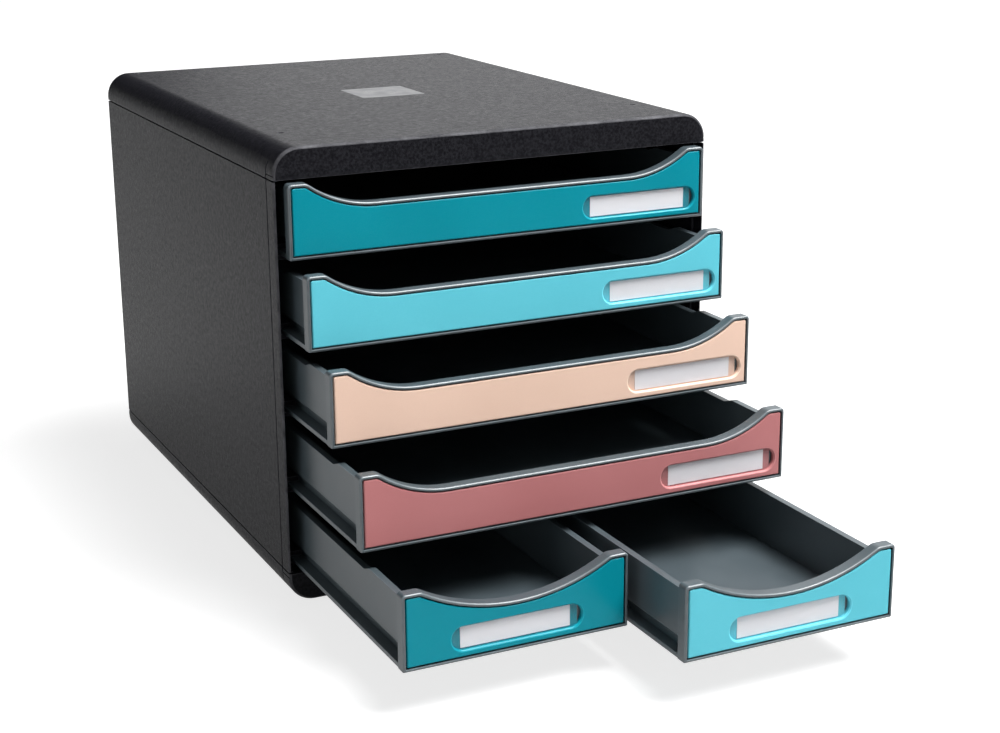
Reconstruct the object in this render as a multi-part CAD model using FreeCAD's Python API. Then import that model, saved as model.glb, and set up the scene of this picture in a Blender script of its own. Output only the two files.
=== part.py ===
import FreeCAD, Part
import math
import os

# Desktop mini drawers: a moulded case with four full-width drawers over two half-width ones.
# X runs left to right, -Y is the front, +Z is up. The origin is on the table, under the middle
# of the whole object with its drawers open. Every length is in millimetres.

# The case as a whole
CASE_WIDTH = 270.0
CASE_DEPTH = 347.5
CORNER_RADIUS = 15.0
STRAIGHT_SKIRT = 3.0
SHELL_WALL = 3.0
FOOT_HEIGHT = 5.0
FRONT_ROUND = 2.0
BACK_ROUND = 1.2

# The seams between the case's mouldings
SEAM_GAP = 0.8
TONGUE_WALL = 1.3
TONGUE_GAP = 0.3
SEAT_GAP = 0.15

# The front of the case: a fascia with a web behind it above and below, and on each side a thin lip
# and an upright groove that runs out on the round corners, with a short line across the strip before it
FASCIA_WALL = 2.6
WEB_WALL = 2.4
WEB_DEPTH = 10.0
MOUTH_LIP_WALL = 1.2
MOUTH_LIP_DEPTH = 8.0
STRIP_WIDTH = 11.4
GROOVE_WIDTH = 1.2
GROOVE_DEPTH = 2.0
TAB_HEIGHT = 2.5
TAB_LINE_HEIGHT = 0.6
TAB_LINE_DEPTH = 0.6

# The back panel and the centre divider
BACK_WALL = 2.4
BACK_RIB_HEIGHT = 2.0
BACK_RIB_WIDTH = 4.0
DIVIDER_WEB = 2.4
DIVIDER_FOOT_WIDTH = 30.0
DIVIDER_FOOT_WALL = 2.4
DIVIDER_TOP_GAP = 1.0

# The rows of drawers, counted from the top
ROW_COUNT = 5
FRONT_HEIGHT = 41.6
ROW_GAP = 3.5
FRONT_TOP_GAP = 1.0
FRONT_SIDE_GAP = 5.6
HALF_FRONT_GAP = 2.6

# The front plate of a drawer and its scooped top edge
PLATE_WALL = 7.2
PLATE_GAP = 0.3
PLATE_CORNER = 2.2
PLATE_ROUND = 1.1
CORNER_FLAT = 9.0
LIP_RADIUS = 6.0
WIDE_SCOOP_DEPTH = 13.5
WIDE_SCOOP_RUN = 42.0
HALF_SCOOP_DEPTH = 14.4

# The coloured insert in the front plate
RIM_WIDTH = 1.6
INSERT_WALL = 3.2
INSERT_SINK = 0.25
INSERT_GAP = 0.7
INSERT_CORNER = 1.0
INSERT_ROUND = 0.8

# The label recess, its card and its clear window
LABEL_LENGTH = 74.2
LABEL_HEIGHT = 13.0
LABEL_DEPTH = 2.2
LABEL_RISE = 12.2
LABEL_EDGE_SLOPE = 0.7
LABEL_FROM_RIGHT = 42.8
THUMB_SLOT_WIDTH = 2.2
CARD_REACH = 1.3
CARD_EDGE_GAP = 0.7
CARD_WALL = 0.3
WINDOW_WALL = 0.6
WINDOW_SINK = 1.1
WINDOW_GAP = 0.1

# The tray behind the front plate
TRAY_LENGTH = 336.0
SIDE_WALL = 4.0
BACK_WALL_OF_TRAY = 2.2
WALL_INSET = 4.4
WALL_DROP = 8.8
WALL_STEP = 2.7
WALL_STEP_LENGTH = 43.0
HALF_WALL_STEP_LENGTH = 55.0
WALL_STEP_RAMP = 8.0
COVE_DEPTH = 2.8
COVE_TOP = 9.0
COVE_SLOPE = 2.5
FLANGE_INSET = 0.4
FLANGE_WALL = 2.6
FLOOR_RISE = 2.8
FLOOR_WALL = 2.2

# The rails that hold the trays, and the stops at the end of the travel
RAIL_GAP = 0.3
RAIL_WALL = 2.9
LOWER_RAIL_INSET = 6.0
UPPER_RAIL_INSET = 6.6
TRAVEL = 250.0
EAR_LENGTH = 8.0
EAR_HEIGHT = 6.0
EAR_REACH = 2.0
STOP_LENGTH = 6.0
STOP_OVERLAP = 1.0

# How far each drawer stands open, the first one being shut
DRAWER_2_OUT = 24.6
DRAWER_3_OUT = 54.4
DRAWER_4_OUT = 92.7
DRAWER_5_OUT = 145.5
DRAWER_6_OUT = 198.5

# Small things on the case
DIMPLE_RADIUS = 1.8
DIMPLE_DEPTH = 1.6
DIMPLE_SIDE_INSET = 22.0
DIMPLE_FRONT_INSET = 48.7
DIMPLE_BACK_INSET = 9.3
BADGE_SIDE = 42.0
BADGE_WALL = 0.4
BADGE_CORNER = 1.0
BADGE_GAP = 0.1
BADGE_SINK = 0.1
FOOT_RADIUS = 8.0
FOOT_SOCKET = 1.2
FOOT_ROUND = 0.8
FOOT_SIDE_INSET = 30.0
FOOT_END_INSET = 32.0

# How far a cutting solid runs past the face that it cuts
OVERRUN = 1.0

# Places that follow from the sizes above
LEFT = -CASE_WIDTH / 2
RIGHT = CASE_WIDTH / 2
BACK = (CASE_DEPTH + PLATE_GAP + PLATE_WALL + DRAWER_6_OUT) / 2
FRONT = BACK - CASE_DEPTH
MIDDLE = BACK - CASE_DEPTH / 2
ROW_PITCH = FRONT_HEIGHT + ROW_GAP
SKIRT_HEIGHT = CORNER_RADIUS + STRAIGHT_SKIRT
BASE_SEAM = FOOT_HEIGHT + SKIRT_HEIGHT
LID_SEAM = BASE_SEAM + ROW_COUNT * ROW_PITCH
TOP = LID_SEAM + SKIRT_HEIGHT
FASCIA_BACK = FRONT + FASCIA_WALL
RAIL_FRONT = FASCIA_BACK + WEB_DEPTH + SEAT_GAP
RAIL_BACK = BACK - BACK_WALL - BACK_RIB_HEIGHT - SEAT_GAP
TONGUE_HEIGHT = STRAIGHT_SKIRT - TONGUE_GAP
WALL_TOP = FRONT_HEIGHT - WALL_DROP
WIDE_WIDTH = CASE_WIDTH - 2 * FRONT_SIDE_GAP
HALF_WIDTH = (WIDE_WIDTH - HALF_FRONT_GAP) / 2
PLATE_BACK = FRONT - PLATE_GAP
STOP_BACK = PLATE_BACK + TRAY_LENGTH - EAR_LENGTH - TRAVEL - RAIL_GAP
BADGE_FLOOR = TOP - BADGE_SINK - BADGE_WALL


def block(x0, x1, y0, y1, z0, z1):
    """A box between two values along each axis."""
    corner = FreeCAD.Vector(x0, y0, z0)
    return Part.makeBox(x1 - x0, y1 - y0, z1 - z0, corner)


def prism(edges, y0, y1):
    """A solid whose section lies in the XZ plane, from y0 to y1."""
    face = Part.Face(Part.Wire(Part.__sortEdges__(edges)))
    solid = face.extrude(FreeCAD.Vector(0, y1 - y0, 0))
    solid.translate(FreeCAD.Vector(0, y0, 0))
    return solid


def line(x0, z0, x1, z1):
    """A straight edge in the XZ plane."""
    return Part.LineSegment(FreeCAD.Vector(x0, 0, z0), FreeCAD.Vector(x1, 0, z1)).toShape()


def arc(cx, cz, radius, start, end):
    """An arc in the XZ plane about (cx, cz), with its angles in radians from +X towards +Z."""
    spots = []
    for angle in (start, (start + end) / 2, end):
        x = cx + radius * math.cos(angle)
        z = cz + radius * math.sin(angle)
        spots.append(FreeCAD.Vector(x, 0, z))
    return Part.Arc(spots[0], spots[1], spots[2]).toShape()


def polygon(points):
    """The closed straight outline through a list of (x, z) points."""
    edges = []
    for index, point in enumerate(points):
        after = points[(index + 1) % len(points)]
        edges.append(line(point[0], point[1], after[0], after[1]))
    return edges


def rounded_outline(x0, x1, z0, z1, radius):
    """A rectangle in the XZ plane with four round corners."""
    quarter = math.pi / 2
    edges = [
        line(x0 + radius, z0, x1 - radius, z0),
        arc(x1 - radius, z0 + radius, radius, -quarter, 0),
        line(x1, z0 + radius, x1, z1 - radius),
        arc(x1 - radius, z1 - radius, radius, 0, quarter),
        line(x1 - radius, z1, x0 + radius, z1),
        arc(x0 + radius, z1 - radius, radius, quarter, 2 * quarter),
        line(x0, z1 - radius, x0, z0 + radius),
        arc(x0 + radius, z0 + radius, radius, 2 * quarter, 3 * quarter),
    ]
    return edges


def case_prism(inset, y0, y1):
    """The case's outer section, drawn in by an inset, from y0 to y1."""
    low = FOOT_HEIGHT + inset
    edges = rounded_outline(LEFT + inset, RIGHT - inset, low, TOP - inset, CORNER_RADIUS - inset)
    return prism(edges, y0, y1)


def end_edges(solid, y):
    """The edges of a prism's end face at y."""
    for face in solid.Faces:
        box = face.BoundBox
        if box.YLength < SEAT_GAP and abs(box.YMin - y) < SEAT_GAP:
            return face.Edges
    return []


def row_bottom(row):
    """The height of the lower edge of the drawer fronts in a row."""
    return LID_SEAM - (row - 1) * ROW_PITCH - FRONT_TOP_GAP - FRONT_HEIGHT


def front_outline(width, height, depth, run, corner, inset):
    """The outline of a drawer's front plate, drawn in by an inset.

    Two flat corners lead by a small arc and a long one, tangent to each other,
    down to the scoop, which is level between the two long arcs.
    """
    turn = 2 * math.atan2(depth, run)
    sweep = run / math.sin(turn) - LIP_RADIUS
    lip = LIP_RADIUS - inset
    bowl = sweep + inset
    half = width / 2
    flat_end = half - CORNER_FLAT
    level = half - CORNER_FLAT - run
    side = half - inset
    low = inset
    high = height - inset
    quarter = math.pi / 2
    edges = [line(-side, low, side, low)]
    for sign in (-1, 1):
        edges.append(line(sign * side, low, sign * side, high - corner))
        start = quarter - sign * quarter
        edges.append(arc(sign * (side - corner), high - corner, corner, start, quarter))
        edges.append(line(sign * (side - corner), high, sign * flat_end, high))
        edges.append(arc(sign * flat_end, height - LIP_RADIUS, lip, quarter, quarter + sign * turn))
        edges.append(arc(sign * level, height - depth + sweep, bowl, -quarter, sign * turn - quarter))
    floor = height - depth - inset
    if level > SEAT_GAP:
        edges.append(line(-level, floor, level, floor))
    return edges


def stadium(centre_x, centre_z, length, height):
    """An outline with two straight sides and two half-round ends."""
    radius = height / 2
    reach = length / 2 - radius
    quarter = math.pi / 2
    edges = [
        line(centre_x - reach, centre_z - radius, centre_x + reach, centre_z - radius),
        arc(centre_x + reach, centre_z, radius, -quarter, quarter),
        line(centre_x + reach, centre_z + radius, centre_x - reach, centre_z + radius),
        arc(centre_x - reach, centre_z, radius, quarter, 3 * quarter),
    ]
    return edges


def rounded_square(side, z0, z1):
    """A flat square solid about the case's middle, with small round corners."""
    half = side / 2
    solid = block(-half, half, MIDDLE - half, MIDDLE + half, z0, z1)
    upright = [edge for edge in solid.Edges if edge.BoundBox.XLength + edge.BoundBox.YLength < BADGE_GAP]
    return solid.makeFillet(BADGE_CORNER, upright)


def case_shell():
    """The case's outer form as one hollow box, open at the back, with its mouth and its side grooves."""
    solid = case_prism(0, FRONT, BACK)
    solid = solid.makeFillet(FRONT_ROUND, end_edges(solid, FRONT))
    solid = solid.makeFillet(BACK_ROUND, end_edges(solid, BACK))
    solid = solid.cut(case_prism(SHELL_WALL, FASCIA_BACK, BACK + OVERRUN))
    inner = RIGHT - SHELL_WALL
    solid = solid.cut(block(-inner, inner, FRONT - OVERRUN, FASCIA_BACK + OVERRUN, BASE_SEAM, LID_SEAM))
    lip = RIGHT - MOUTH_LIP_WALL
    solid = solid.cut(block(-lip, lip, FRONT - OVERRUN, FRONT + MOUTH_LIP_DEPTH, BASE_SEAM, LID_SEAM))
    groove = FRONT + STRIP_WIDTH
    lines = (LID_SEAM + TAB_HEIGHT, BASE_SEAM - TAB_HEIGHT - TAB_LINE_HEIGHT)
    for sign in (-1, 1):
        outside = sign * (RIGHT + OVERRUN)
        left, right = sorted((sign * (RIGHT - GROOVE_DEPTH), outside))
        solid = solid.cut(block(left, right, groove, groove + GROOVE_WIDTH, 0, TOP + OVERRUN))
        left, right = sorted((sign * (RIGHT - TAB_LINE_DEPTH), outside))
        for z in lines:
            solid = solid.cut(block(left, right, FRONT - OVERRUN, groove + SEAT_GAP, z, z + TAB_LINE_HEIGHT))
    return solid


def part_of_shell(z0, z1, rebate_z0, rebate_z1, web_z):
    """The shell between two heights, with a rebate for the panels' tongues and a web behind its fascia."""
    layer = block(LEFT - OVERRUN, RIGHT + OVERRUN, FRONT - OVERRUN, BACK + OVERRUN, z0, z1)
    solid = case_shell().common(layer)
    rebate = RIGHT - SHELL_WALL + TONGUE_WALL + SEAT_GAP
    solid = solid.cut(block(-rebate, rebate, FASCIA_BACK, BACK + OVERRUN, rebate_z0, rebate_z1))
    reach = RIGHT - SHELL_WALL - SEAT_GAP
    web = block(-reach, reach, FASCIA_BACK, FASCIA_BACK + WEB_DEPTH, web_z, web_z + WEB_WALL)
    return solid.fuse(web).removeSplitter()


def make_lid():
    """The lid: a tray upside down, with round long edges, a skirt on each side and the upper fascia."""
    seam = LID_SEAM + SEAM_GAP / 2
    solid = part_of_shell(seam, TOP + OVERRUN, seam - OVERRUN, LID_SEAM + STRAIGHT_SKIRT, seam)
    for x in (LEFT + DIMPLE_SIDE_INSET, RIGHT - DIMPLE_SIDE_INSET):
        for y in (FRONT + DIMPLE_FRONT_INSET, BACK - DIMPLE_BACK_INSET):
            foot = FreeCAD.Vector(x, y, TOP - DIMPLE_DEPTH)
            solid = solid.cut(Part.makeCylinder(DIMPLE_RADIUS, DIMPLE_DEPTH + OVERRUN, foot))
    return solid.cut(rounded_square(BADGE_SIDE + 2 * BADGE_GAP, BADGE_FLOOR, TOP + OVERRUN))


def foot_places():
    """Where the middle of each foot is."""
    places = {}
    for side, x in (("left", LEFT + FOOT_SIDE_INSET), ("right", RIGHT - FOOT_SIDE_INSET)):
        for end, y in (("front", FRONT + FOOT_END_INSET), ("back", BACK - FOOT_END_INSET)):
            places["foot_" + end + "_" + side] = (x, y)
    return places


def make_base():
    """The base: the lid's twin the other way up, with the lower fascia and four foot sockets."""
    seam = BASE_SEAM - SEAM_GAP / 2
    solid = part_of_shell(0, seam, BASE_SEAM - STRAIGHT_SKIRT, seam + OVERRUN, seam - WEB_WALL)
    for x, y in foot_places().values():
        mouth = FreeCAD.Vector(x, y, FOOT_HEIGHT - OVERRUN)
        solid = solid.cut(Part.makeCylinder(FOOT_RADIUS + SEAT_GAP, FOOT_SOCKET + OVERRUN, mouth))
    return solid


def make_rails(wall_x, plate_x, sign, rows):
    """The rails and stops of one wall.

    wall_x is the wall's face, plate_x the edge of the drawer fronts beside it, and
    sign the way from the wall to the drawers.
    """
    pieces = []
    for row in rows:
        bottom = row_bottom(row)
        lower_x = plate_x + sign * LOWER_RAIL_INSET
        upper_x = plate_x + sign * UPPER_RAIL_INSET
        stop_x = plate_x + sign * (WALL_INSET - EAR_REACH + STOP_OVERLAP)
        lower_z = bottom - RAIL_GAP
        upper_z = bottom + FLANGE_WALL + RAIL_GAP
        ear_z = bottom + WALL_TOP - EAR_HEIGHT
        left, right = sorted((wall_x, lower_x))
        pieces.append(block(left, right, RAIL_FRONT, RAIL_BACK, lower_z - RAIL_WALL, lower_z))
        left, right = sorted((wall_x, upper_x))
        pieces.append(block(left, right, RAIL_FRONT, RAIL_BACK, upper_z, upper_z + RAIL_WALL))
        left, right = sorted((wall_x, stop_x))
        pieces.append(block(left, right, STOP_BACK - STOP_LENGTH, STOP_BACK, ear_z, ear_z + EAR_HEIGHT))
    return pieces


def make_side(sign):
    """A side panel with its tongues, rails and stops; sign is -1 on the left and 1 on the right."""
    outer = sign * CASE_WIDTH / 2
    inner = outer - sign * SHELL_WALL
    tongue = inner + sign * TONGUE_WALL
    low = BASE_SEAM + SEAM_GAP / 2
    high = LID_SEAM - SEAM_GAP / 2
    left, right = sorted((outer + sign * OVERRUN, inner))
    solid = case_shell().common(block(left, right, FRONT - OVERRUN, BACK + OVERRUN, low, high))
    left, right = sorted((tongue, inner))
    start = FASCIA_BACK + SEAT_GAP
    pieces = [
        block(left, right, start, BACK, BASE_SEAM - TONGUE_HEIGHT, low),
        block(left, right, start, BACK, high, LID_SEAM + TONGUE_HEIGHT),
    ]
    plate = outer - sign * FRONT_SIDE_GAP
    pieces += make_rails(inner, plate, -sign, range(1, ROW_COUNT + 1))
    return solid.fuse(pieces).removeSplitter()


def make_back():
    """The back panel, inside the shell, with two stiffening ribs across its inner face."""
    inset = SHELL_WALL + SEAT_GAP
    solid = case_prism(inset, BACK - BACK_WALL, BACK)
    rib_x = RIGHT - FRONT_SIDE_GAP - LOWER_RAIL_INSET
    face = BACK - BACK_WALL
    for row in range(1, ROW_COUNT):
        z = row_bottom(row) - BACK_RIB_WIDTH
        rib = block(-rib_x, rib_x, face - BACK_RIB_HEIGHT, face, z, z + BACK_RIB_WIDTH)
        solid = solid.fuse(rib)
    return solid.removeSplitter()


def make_divider():
    """The centre divider: a web on a flat foot, with the half drawers' rails on both sides."""
    floor = FOOT_HEIGHT + SHELL_WALL
    top = row_bottom(ROW_COUNT) + FRONT_HEIGHT + FRONT_TOP_GAP - DIVIDER_TOP_GAP
    half = DIVIDER_WEB / 2
    solid = block(-half, half, RAIL_FRONT, RAIL_BACK, floor, top)
    foot = DIVIDER_FOOT_WIDTH / 2
    solid = solid.fuse(block(-foot, foot, RAIL_FRONT, RAIL_BACK, floor, floor + DIVIDER_FOOT_WALL))
    for sign in (-1, 1):
        plate = sign * HALF_FRONT_GAP / 2
        solid = solid.fuse(make_rails(sign * half, plate, sign, [ROW_COUNT]))
    return solid.removeSplitter()


def make_badge():
    """The bare square plate, sunk into the middle of the lid."""
    return rounded_square(BADGE_SIDE, BADGE_FLOOR, BADGE_FLOOR + BADGE_WALL)


def make_foot(x, y):
    """A rubber foot, seated in its socket in the base."""
    solid = Part.makeCylinder(FOOT_RADIUS, FOOT_HEIGHT + FOOT_SOCKET, FreeCAD.Vector(x, y, 0))
    low = [edge for edge in solid.Edges if edge.BoundBox.ZMax < FOOT_SOCKET]
    return solid.makeChamfer(FOOT_ROUND, low)


def tray_section(width):
    """The section of a tray without its front: two walls with a cove outside, two flanges and a floor."""
    outer = width / 2 - WALL_INSET
    inner = outer - SIDE_WALL
    low_outer = outer - COVE_DEPTH
    edge = width / 2 - FLANGE_INSET
    cove_low = COVE_TOP - COVE_SLOPE
    side = [
        (inner, FLOOR_RISE),
        (inner, 0),
        (edge, 0),
        (edge, FLANGE_WALL),
        (low_outer, FLANGE_WALL),
        (low_outer, cove_low),
        (outer, COVE_TOP),
        (outer, WALL_TOP),
        (inner, WALL_TOP),
        (inner, FLOOR_RISE + FLOOR_WALL),
    ]
    mirrored = [(-x, z) for x, z in reversed(side)]
    return polygon(side + mirrored)


def make_plate(width, depth, run):
    """A drawer's front plate with the pocket for its insert; its back face lies at y = 0."""
    solid = prism(front_outline(width, FRONT_HEIGHT, depth, run, PLATE_CORNER, 0), -PLATE_WALL, 0)
    solid = solid.makeFillet(PLATE_ROUND, end_edges(solid, -PLATE_WALL))
    pocket = front_outline(width, FRONT_HEIGHT, depth, run, INSERT_CORNER, RIM_WIDTH)
    floor = INSERT_SINK + INSERT_WALL - PLATE_WALL
    return solid.cut(prism(pocket, -PLATE_WALL - OVERRUN, floor))


def make_tray(width, depth, run, step_length, stepped_sides):
    """A whole drawer moulding; the plate's back face lies at y = 0 and its lower edge at z = 0."""
    solid = prism(tray_section(width), 0, TRAY_LENGTH)
    outer = width / 2 - WALL_INSET
    inner = outer - SIDE_WALL
    end = TRAY_LENGTH - BACK_WALL_OF_TRAY
    back = block(-outer, outer, end, TRAY_LENGTH, COVE_TOP, WALL_TOP)
    low = outer - COVE_DEPTH
    lower_back = block(-low, low, end, TRAY_LENGTH, FLOOR_RISE, COVE_TOP)
    pieces = [back, lower_back]
    for sign in (-1, 1):
        left, right = sorted((sign * inner, sign * outer))
        length = step_length if sign in stepped_sides else TRAY_LENGTH
        raised = [
            FreeCAD.Vector(left, 0, WALL_TOP),
            FreeCAD.Vector(left, length, WALL_TOP),
            FreeCAD.Vector(left, length - WALL_STEP_RAMP, WALL_TOP + WALL_STEP),
            FreeCAD.Vector(left, 0, WALL_TOP + WALL_STEP),
            FreeCAD.Vector(left, 0, WALL_TOP),
        ]
        face = Part.Face(Part.makePolygon(raised))
        pieces.append(face.extrude(FreeCAD.Vector(right - left, 0, 0)))
        left, right = sorted((sign * outer, sign * (outer + EAR_REACH)))
        ear = block(left, right, TRAY_LENGTH - EAR_LENGTH, TRAY_LENGTH, WALL_TOP - EAR_HEIGHT, WALL_TOP)
        pieces.append(ear)
    pieces.append(make_plate(width, depth, run))
    return solid.fuse(pieces).removeSplitter()


def label_end(label_x, y0, y1):
    """The right end of the label recess's outline, as long as the thumb slot, from y0 to y1."""
    right = label_x + LABEL_LENGTH / 2
    half = LABEL_HEIGHT / 2
    end = block(right - THUMB_SLOT_WIDTH, right, y0, y1, LABEL_RISE - half, LABEL_RISE + half)
    return prism(stadium(label_x, LABEL_RISE, LABEL_LENGTH, LABEL_HEIGHT), y0, y1).common(end)


def make_insert(width, depth, run, label_x):
    """The coloured insert, with the dished label recess and a thumb slot through its right end."""
    front = INSERT_SINK - PLATE_WALL
    inset = RIM_WIDTH + INSERT_GAP
    outline = front_outline(width, FRONT_HEIGHT, depth, run, INSERT_CORNER, inset)
    solid = prism(outline, front, front + INSERT_WALL)
    solid = solid.makeFillet(INSERT_ROUND, end_edges(solid, front))
    recess = prism(stadium(label_x, LABEL_RISE, LABEL_LENGTH, LABEL_HEIGHT), front, front + LABEL_DEPTH)
    solid = solid.cut(recess)
    reach = recess.BoundBox
    mouth = []
    for edge in end_edges(solid, front):
        box = edge.BoundBox
        across = box.XMin > reach.XMin - SEAT_GAP and box.XMax < reach.XMax + SEAT_GAP
        if across and box.ZMin > reach.ZMin - SEAT_GAP:
            mouth.append(edge)
    solid = solid.makeChamfer(LABEL_EDGE_SLOPE, mouth)
    return solid.cut(label_end(label_x, front + LABEL_DEPTH, front + INSERT_WALL))


def make_card(label_x):
    """The paper card on the recess's floor, which ends a little way into the left round end."""
    floor = INSERT_SINK - PLATE_WALL + LABEL_DEPTH
    half_x = (LABEL_LENGTH - LABEL_HEIGHT) / 2
    half_z = LABEL_HEIGHT / 2 - CARD_EDGE_GAP
    left = label_x - half_x - CARD_REACH
    return block(left, label_x + half_x, floor - CARD_WALL, floor, LABEL_RISE - half_z, LABEL_RISE + half_z)


def make_window(label_x):
    """The clear window in the mouth of the label recess, cut off straight before the thumb slot."""
    front = INSERT_SINK - PLATE_WALL + WINDOW_SINK
    outline = stadium(label_x, LABEL_RISE, LABEL_LENGTH - 2 * WINDOW_GAP, LABEL_HEIGHT - 2 * WINDOW_GAP)
    return prism(outline, front, front + WINDOW_WALL).cut(label_end(label_x, front, front + WINDOW_WALL))


def drawers():
    """Number, row, middle, shape, opening and stepped walls of each drawer.

    The shape holds the width, the scoop's depth and run, the label's place and the wall step's length.
    """
    half_run = HALF_WIDTH / 2 - CORNER_FLAT
    half_x = (HALF_WIDTH + HALF_FRONT_GAP) / 2
    wide_label = WIDE_WIDTH / 2 - LABEL_FROM_RIGHT
    both = (-1, 1)
    wide = (WIDE_WIDTH, WIDE_SCOOP_DEPTH, WIDE_SCOOP_RUN, wide_label, WALL_STEP_LENGTH)
    half = (HALF_WIDTH, HALF_SCOOP_DEPTH, half_run, 0, HALF_WALL_STEP_LENGTH)
    return [
        (1, 1, 0, wide, 0, both),
        (2, 2, 0, wide, DRAWER_2_OUT, both),
        (3, 3, 0, wide, DRAWER_3_OUT, both),
        (4, 4, 0, wide, DRAWER_4_OUT, both),
        (5, 5, -half_x, half, DRAWER_5_OUT, (-1,)),
        (6, 5, half_x, half, DRAWER_6_OUT, ()),
    ]


def build():
    """Every node's solid, in the part's frame."""
    nodes = {
        "top_lid": make_lid(),
        "base_tray": make_base(),
        "side_panel_left": make_side(-1),
        "side_panel_right": make_side(1),
        "back_panel": make_back(),
        "centre_divider": make_divider(),
        "badge_plate": make_badge(),
    }
    for name, place in foot_places().items():
        nodes[name] = make_foot(place[0], place[1])
    for number, row, middle, shape, opening, stepped_sides in drawers():
        width, depth, run, label_x, step_length = shape
        pieces = {
            "drawer_tray_": make_tray(width, depth, run, step_length, stepped_sides),
            "front_insert_": make_insert(width, depth, run, label_x),
            "label_card_": make_card(label_x),
            "label_window_": make_window(label_x),
        }
        for stem, solid in pieces.items():
            solid.translate(FreeCAD.Vector(middle, PLATE_BACK - opening, row_bottom(row)))
            nodes[stem + str(number)] = solid
    return nodes


def main():
    """Write one STEP file per node and print each node's solids, volume and validity."""
    os.makedirs("parts", exist_ok=True)
    for name, shape in build().items():
        shape.exportStep("parts/" + name + ".step")
        print(name, len(shape.Solids), "solid,", round(shape.Volume), "mm3, valid", shape.isValid())


main()
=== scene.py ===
import logging
import math
from dataclasses import dataclass
from enum import Enum
from typing import Iterable, Sequence

import bmesh
import bpy
from mathutils import Matrix, Vector


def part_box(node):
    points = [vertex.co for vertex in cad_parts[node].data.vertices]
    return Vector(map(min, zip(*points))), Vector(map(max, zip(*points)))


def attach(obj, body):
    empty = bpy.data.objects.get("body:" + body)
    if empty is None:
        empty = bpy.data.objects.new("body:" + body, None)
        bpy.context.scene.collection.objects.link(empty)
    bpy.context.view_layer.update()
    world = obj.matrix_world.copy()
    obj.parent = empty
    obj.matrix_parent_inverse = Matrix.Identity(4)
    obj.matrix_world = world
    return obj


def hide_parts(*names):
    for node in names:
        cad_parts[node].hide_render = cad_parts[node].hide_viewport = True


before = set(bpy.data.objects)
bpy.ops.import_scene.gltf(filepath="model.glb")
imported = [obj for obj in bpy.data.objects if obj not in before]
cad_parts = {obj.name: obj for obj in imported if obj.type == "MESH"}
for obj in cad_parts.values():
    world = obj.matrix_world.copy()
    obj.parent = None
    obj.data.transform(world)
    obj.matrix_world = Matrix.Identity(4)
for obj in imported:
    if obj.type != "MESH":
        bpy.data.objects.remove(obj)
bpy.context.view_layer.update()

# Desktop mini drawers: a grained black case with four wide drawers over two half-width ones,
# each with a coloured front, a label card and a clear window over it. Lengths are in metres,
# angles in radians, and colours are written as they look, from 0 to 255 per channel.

MM = 0.001

# Edges: points closer than this are one point, faces that turn less are one flat, edges that turn
# more are sharp, and each round on a sharp edge has this many faces
WELD = 0.002 * MM
FLAT_ANGLE = math.radians(0.3)
SHARP_ANGLE = math.radians(32)
ROUND_SEGMENTS = 2

# Edge wear and painted highlight: the face layer that holds the mark, the least of it on a marked edge,
# and how much of a face's direction points to the front where hands rub it. On the case, the trays and
# the fronts the lighter tone of these edges is a painted highlight as well as wear
EDGE_WEAR_AND_HIGHLIGHT = "edge_wear_and_highlight"
LEAST_WEAR_AND_HIGHLIGHT = 0.35
RUBBED_AND_HIGHLIT_FROM = math.sin(math.radians(10))
RUBBED_AND_HIGHLIT_TO = math.sin(math.radians(76))

# Noise: where most of its values lie, a steeper part of that, and the same for a sum of two
MIDDLE = (0.3, 0.7)
NARROW_MIDDLE = (0.35, 0.65)
DOUBLE_MIDDLE = (0.7, 1.3)

# Brush lines to a metre, along X and across it
LINES_PER_METRE = (40.0, 2600.0, 2600.0)

# The kinds of ray that see the pale floor and surroundings as white
EYE = "Is Camera Ray"
MIRRORED = ("Is Glossy Ray", "Is Transmission Ray")
WHITE = (1.0, 1.0, 1.0, 1.0)

logging.basicConfig(level=logging.INFO, format="%(message)s")
log = logging.getLogger("mini_drawers")

Colour = tuple[int, int, int]
Tones = tuple[int, int, int]
Range = tuple[float, float]
Socket = bpy.types.NodeSocket


def linear(colour: Colour) -> tuple[float, float, float, float]:
    """Turn a colour as it looks into the shader's linear red, green, blue and alpha.

    Args:
        colour: Red, green and blue from 0 to 255.

    Returns:
        The same colour in linear light, opaque.
    """
    parts = []
    for channel in colour:
        value = channel / 255
        parts.append(value / 12.92 if value <= 0.04045 else ((value + 0.055) / 1.055) ** 2.4)
    return parts[0], parts[1], parts[2], 1.0


class FrontColour(Enum):
    """The colours that the drawer fronts come in, each with its material slot."""

    TEAL = ("front_teal", (0, 140, 157))
    TURQUOISE = ("front_turquoise", (98, 201, 218))
    PEACH = ("front_peach", (238, 204, 184))
    ROSE = ("front_rose", (190, 122, 123))

    @property
    def slot(self) -> str:
        """The record's material slot."""
        return self.value[0]

    @property
    def colour(self) -> Colour:
        """The colour as it looks."""
        return self.value[1]


def shade(colour: Colour, change: int) -> Colour:
    """Make a colour lighter, or darker with a change below 0."""
    return tuple(max(0, min(255, channel + change)) for channel in colour)


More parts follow.
